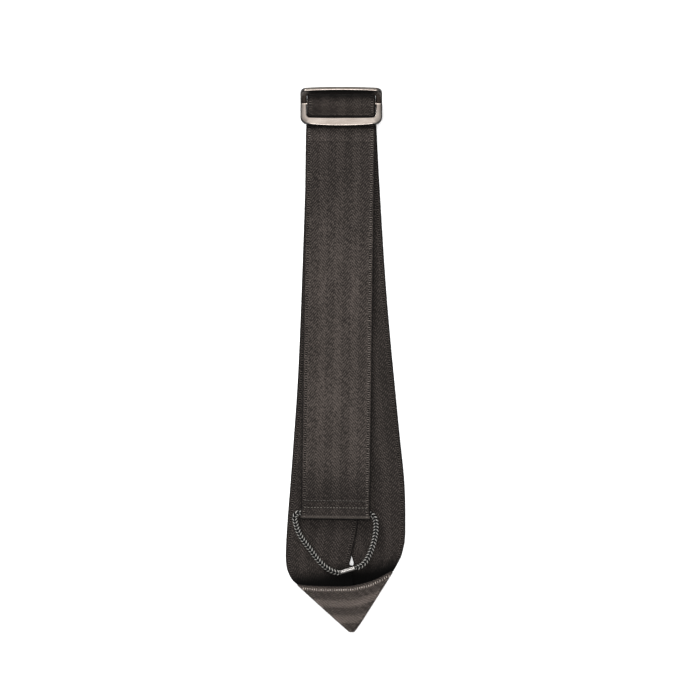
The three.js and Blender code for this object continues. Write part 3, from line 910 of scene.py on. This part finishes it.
def make_tip(material):
    """The webbing folds over both diagonals and crosses in front, with a raised rim above a hollow.

    Its columns run from the rim to the point, w along them, and its rows from the left fold to the right."""
    rim = smooth_line(RIM)
    w = columns(TIP_LENGTH + TIP_ROUND, POINT_STEPS) + HALF
    down = np.minimum(w / TIP_LENGTH, 1)
    past = np.clip((w - TIP_LENGTH) / TIP_ROUND, 0, TIP_CUT)
    corners, ends = np.array([RIM[0], RIM[-1]]), np.array(TIP_ENDS)
    left, right = (corners[i] + (ends[i] - corners[i]) * (w / TIP_LENGTH)[:, None] for i in range(2))
    middle_x = (left[:, 0] + right[:, 0]) / 2
    half = (right[:, 0] - left[:, 0]) / 2 * np.sqrt(1 - past**4)

    radius = np.minimum(FOLD_RADIUS, MOST_RADIUS * half)
    inset = np.minimum(FOLD_INSET, MOST_INSET * half)
    share = np.linspace(0, 1, TIP_ROWS)[:, None]
    reach = half - inset
    x = middle_x - reach + 2 * reach * share
    part = (x - (middle_x - half)) / (2 * half)
    chord = left[:, 1] + (right[:, 1] - left[:, 1]) * part
    rim_x = RIM[0][0] + (RIM[-1][0] - RIM[0][0]) * part
    rim_sag = RIM[0][1] + (RIM[-1][1] - RIM[0][1]) * part - np.interp(rim_x, rim[:, 0], rim[:, 1])
    y = chord - rim_sag * (1 - down)
    crown = np.sin(math.pi * part)
    bulge = TIP_BULGE * (1 - down) ** 1.5 * crown**1.3
    ripple = TIP_RIPPLE * np.sin(2 * math.pi * (2.2 * part + 0.8 * down)) * crown * np.sin(math.pi * down)
    z = FLAP_Z + bulge + ripple - TIP_SINKS * smoothstep(0.85, 1.0, down)
    top = grid(x, y, z)

    def wrap(side, leg_z):
        """From the top layer's edge round the fold to the leg's level, and how far along each row is."""
        end = 0 if side < 0 else -1
        edge = top[end]
        angle = np.radians(np.linspace(90, -90, 13)[1:])[:, None]
        centre_z = (edge[:, 2] + leg_z) / 2
        fold_x = edge[:, 0] + side * radius * np.cos(angle)
        fold_z = centre_z + (edge[:, 2] - leg_z) / 2 * np.sin(angle)
        rows = grid(fold_x, edge[:, 1], fold_z)
        rows = np.concatenate([rows, rows[-1:] + (-side * TUCK, 0, 0)])
        steps = np.linalg.norm(np.diff(np.concatenate([edge[None], rows]), axis=0), axis=2)
        return rows, x[end] + side * np.cumsum(steps, axis=0)

    left_rows, left_v = wrap(-1, LEFT_LEG_Z)
    right_rows, right_v = wrap(1, RIGHT_LEG_Z + LEG_LIFT)
    middle = np.concatenate([left_rows[::-1], top, right_rows])
    v = np.concatenate([left_v[::-1], x, right_v])
    piece = sheet("tip_fold", middle, w - HALF, v, material, "loop_tip", np.minimum(w, w[-1] - w))
    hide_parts("webbing_tip_fold")


# ------------------------ stitches

STITCH_PITCH = 2.3
STITCH_LENGTH = 1.75
THREAD_RADIUS, THREAD_FLAT = 0.29, 0.8  # half a stitch's width, and how thick it is for that width
STITCH_DIP = 0.42  # how far its ends go down into the webbing
STITCH_RINGS, STITCH_SIDES = 11, 8
HEM_ROW, ANCHOR_ROW = 46, 44  # how long the rows are
LOWER_AT, UPPER_AT = 0.7, -1.9  # of the hem's rows, from the foot of its fold and from its top
HEM_FACES = [(RUN_Z + THICK / 2, 1, 0.16), (FLAP_Z - THICK / 2, -1, -0.06)]
ANCHOR_FACES = [(FLAP_Z + THICK / 2, 1, -0.03)]


def stitch_row(name, node, place, length, tops, material, body):
    """Rows of single stitches. place moves points from the row's own frame.

    Each of tops is the height of a face of the webbing, which way it faces and how far stitches rise."""
    count = int(length / STITCH_PITCH)
    rng = np.random.default_rng(len(name))
    t = np.linspace(-1, 1, STITCH_RINGS)
    angle = all_round(STITCH_SIDES)
    points, values, faces = [], [], []
    for height, way, rise in tops:
        for k in range(count):
            start = (k - (count - 1) / 2) * STITCH_PITCH + rng.uniform(-0.1, 0.1)
            skew = rng.uniform(-0.12, 0.12)
            radius = THREAD_RADIUS * np.sqrt(np.clip(1.02 - np.abs(t) ** 3, 0, 1))[:, None]
            x = start + t[:, None] * STITCH_LENGTH / 2
            y = skew * t[:, None] + radius * np.cos(angle)
            dip = STITCH_DIP * np.abs(t[:, None]) ** 3
            z = height + way * (rise - dip + radius * THREAD_FLAT * np.sin(angle))
            faces += tube_faces(len(t), STITCH_SIDES, len(points) * len(t) * STITCH_SIDES)
            points.append(place(grid(x, y, z)))
            values.append(grid(angle * 0.3, start * 3 + t[:, None] * STITCH_LENGTH, 0))
    points, values = np.concatenate(points), np.concatenate(values)
    piece = add_piece(name, points, faces, material, "strand", values, body)
    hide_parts(node)
    return piece


def make_stitches(foot):
    """The hem's two rows, the lower one beside foot, and the two that hold the sewn end."""
    bright = thread_material("sewing_thread", (0.09, 0.08, 0.07), (0.28, 0.255, 0.23))
    worn = thread_material("worn_thread", (0.04, 0.035, 0.03), (0.11, 0.098, 0.09))
    hem_rows = []
    top = HEM_TOP - RUN_Y
    for name, at, thread in (("lower", foot + LOWER_AT, bright), ("upper", top + UPPER_AT, worn)):
        row = f"hem_stitches_{name}", f"hem_thread_{name}", lambda p, at=at: in_run_frame(p + (0, at, 0))
        hem_rows.append(stitch_row(*row, HEM_ROW, HEM_FACES, thread, "hem"))
    for name in ("near", "far"):
        x, y, _ = middle_of(f"anchor_thread_{name}")
        row = f"anchor_stitches_{name}", f"anchor_thread_{name}", lambda p, at=(x, y, 0): p + at
        stitch_row(*row, ANCHOR_ROW, ANCHOR_FACES, worn, "loop")
    return hem_rows


# ------------------------ slide

# The slide laid flat: half its width, how far it reaches from the bar, how much more at its middle, its
# corners' radius, how wide its sides are, how far the slots reach and their corners' radius
SLIDE = {"half": 30.0, "end": 16.1, "bow": 0.9, "corner": 5.0}
SLIDE |= {"side": 4.75, "slot_end": 11.0, "slot_corner": 2.5}
SLIDE_HALF_THICK = 1.45
SLIDE_ROUNDING = 0.6
SLIDE_FLAT = 0.7  # a strip beside each rounded edge that keeps the broad faces flat
LOWER_SLOPE, UPPER_SLOPE = math.radians(-16), math.radians(53)
LOWER_LONGER = 1.045  # how long the lower half is at its middle, as a share of the raised half
LOWER_BOW = 0.06  # how much that share is less at its sides
BEND = 1.6  # half the length of plate that the bend takes up

# Painted dark reflection on the plating, where it would reflect nothing bright: how dark the raised half's
# bar is painted, how much less its sides are, and the painted shade on the outer and inner edges. The end
# face has a painted highlight, keeping only this much of the darkening.
RAISED_PAINTED_DARK, SIDES_LESS, OUTER_PAINTED_SHADE, INNER_PAINTED_SHADE, END_FACE_PAINTED_DARK = 0.97, 0.2, 0.93, 0.85, 0.35


def bent(p, t):
    """Side view of a point p along the bent plate from the bar and t out from its middle."""
    along = np.linspace(-20, 20, 801)
    slope = LOWER_SLOPE + (UPPER_SLOPE - LOWER_SLOPE) * smoothstep(-BEND, BEND, along)
    step = along[1] - along[0]
    y = np.cumsum(np.cos(slope)) * step
    z = np.cumsum(np.sin(slope)) * step
    y += along[0] * math.cos(LOWER_SLOPE) - y[0]
    z += along[0] * math.sin(LOWER_SLOPE) - z[0]
    at_y, at_z, turn = (np.interp(p, along, values) for values in (y, z, slope))
    return AXIS[0] + at_y - t * np.sin(turn), AXIS[1] + at_z + t * np.cos(turn)


def slide_ring():
    """Outer and inner points round the slide's flat outline, as (x, p), from one side round to it again."""
    half, end, corner = SLIDE["half"], SLIDE["end"], SLIDE["corner"]
    slot, slot_end, slot_corner = half - SLIDE["side"], SLIDE["slot_end"], SLIDE["slot_corner"]
    t = np.linspace(0, 1, 46)[:, None]
    side_outer = np.hstack([half + 0 * t, t * (end - corner)])
    side_inner = np.hstack([slot + 0 * t, t * (slot_end - slot_corner)])
    turn = np.radians(np.linspace(0, 90, 15))[1:, None]
    spoke = np.hstack([np.cos(turn), np.sin(turn)])
    corner_outer = np.array((half - corner, end - corner)) + corner * spoke
    corner_inner = np.array((slot - slot_corner, slot_end - slot_corner)) + slot_corner * spoke
    across = np.linspace(1, 0, 24)[1:, None]
    end_outer = np.hstack([across * (half - corner), end + SLIDE["bow"] * (1 - across**2)])
    end_inner = np.hstack([across * (slot - slot_corner), slot_end + 0 * across])
    result = []
    for quarter in ((side_outer, corner_outer, end_outer), (side_inner, corner_inner, end_inner)):
        quarter = np.vstack(quarter)
        half_ring = np.vstack([quarter, (quarter * (-1, 1))[-2::-1]])
        result.append(np.vstack([half_ring[:-1], -half_ring[:-1]]))
    return result


def make_slide():
    """The bent plate, as one ring of cross sections a wide and b thick round its two slots."""
    outer, inner = slide_ring()
    middle = (outer + inner) / 2
    spoke = outer - inner
    width = np.linalg.norm(spoke, axis=1)
    spoke /= width[:, None]
    turn = np.radians(np.linspace(0, 90, 6))
    arc_a, arc_b = np.cos(turn), np.sin(turn)
    r, thick, flat = SLIDE_ROUNDING, SLIDE_HALF_THICK, SLIDE_FLAT
    # One corner of the section, as how far in from the side and the face it lies
    quarter_a = np.concatenate([[0], r - r * arc_a, [r + flat]])
    quarter_b = np.concatenate([[r + flat], r - r * arc_b, [0]])
    half_width = width[:, None] / 2
    # The whole section: a is across the plate from its middle, and b is out from it
    a, b = half_width - quarter_a, thick - quarter_b + 0 * half_width
    a = np.hstack([a, -a[:, ::-1], -a, a[:, ::-1]])
    b = np.hstack([b, b[:, ::-1], -b, -b[:, ::-1]])
    x = middle[:, :1] + spoke[:, :1] * a
    p = middle[:, 1:] + spoke[:, 1:] * a
    p = np.where(p < 0, p * (LOWER_LONGER - LOWER_BOW * (x / SLIDE["half"]) ** 4), p)
    y, z = bent(p, b)
    points = grid(BAR_X + x, y, z)
    # Where painted dark reflection and painted edge shade cover the plating: the sides, the edges and the
    # raised half, all from 0 to 1
    on_sides = smoothstep(22, 27, np.abs(x))
    outer_side = 1 - smoothstep(0.25 + 0.45 * on_sides, 0.6 + 1.5 * on_sides, half_width - a)
    inner_side = on_sides * (1 - smoothstep(0.4, 1.6, half_width + a))
    raised = smoothstep(-0.3, 0.5, p)
    end_face = (a > half_width - 0.5) * raised * smoothstep(28, 25, np.abs(x)) * smoothstep(1.25, 0.5, -b)
    edges = np.maximum(OUTER_PAINTED_SHADE * outer_side, INNER_PAINTED_SHADE * inner_side)
    painted_darkening = np.maximum((RAISED_PAINTED_DARK - SIDES_LESS * on_sides) * raised, edges)
    # The end face gets a painted highlight in place of most of the darkening
    painted_darkening = painted_darkening * (1 - end_face) + END_FACE_PAINTED_DARK * end_face
    values = grid(distances(middle)[:, None], a + b, painted_darkening)
    faces = tube_faces(*a.shape, closed=True)
    material = slide_metal("gunmetal", "metal_grain")
    piece = add_piece("bent_slide", points, faces, material, "metal_grain", values, "slide")
    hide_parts("slide_frame")


def finish_bar():
    """The round bar, carried over from the frame with its edges eased and the slide's metal."""
    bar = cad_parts["slide_centre_bar"]
    bar.data.materials.clear()
    bar.data.materials.append(slide_metal("bar_metal"))
    bevel = bar.modifiers.new("eased", "BEVEL")
    bevel.width = 0.2 * MM
    bevel.segments = 2
    bevel.limit_method = "ANGLE"


make_camera()
make_cord(make_ferrule())
make_studio()
webbing = webbing_material("webbing", ticks=(0.6, 0.6))
# The legs' webbing is a darker copy: painted shade for lying lower than the run
leg_webbing_painted_shade = webbing_material("leg_webbing_painted_shade", lighter=-0.12, ticks=(0.2, 0.2))
# The tip's webbing is a paler copy, painted light, with strong painted sheen in its alternate panels
tip_looks = {"panels": 0.26, "soft": 0.16, "lighter": 0.02, "tone": 1.5, "ladder": (2.0, 3.3)}
tip_webbing_painted_light = webbing_material("tip_webbing_painted_light", ticks=(1.0, 1.0), rim=0.55, **tip_looks)
make_legs(leg_webbing_painted_shade)
make_tip(tip_webbing_painted_light)
make_anchor(webbing)
make_turn(webbing)
hem, hem_foot, hem_length = make_hem()
make_run(hem)
hem_stitches = make_stitches(hem_foot)
hem_length * MM
make_slide()
finish_bar()
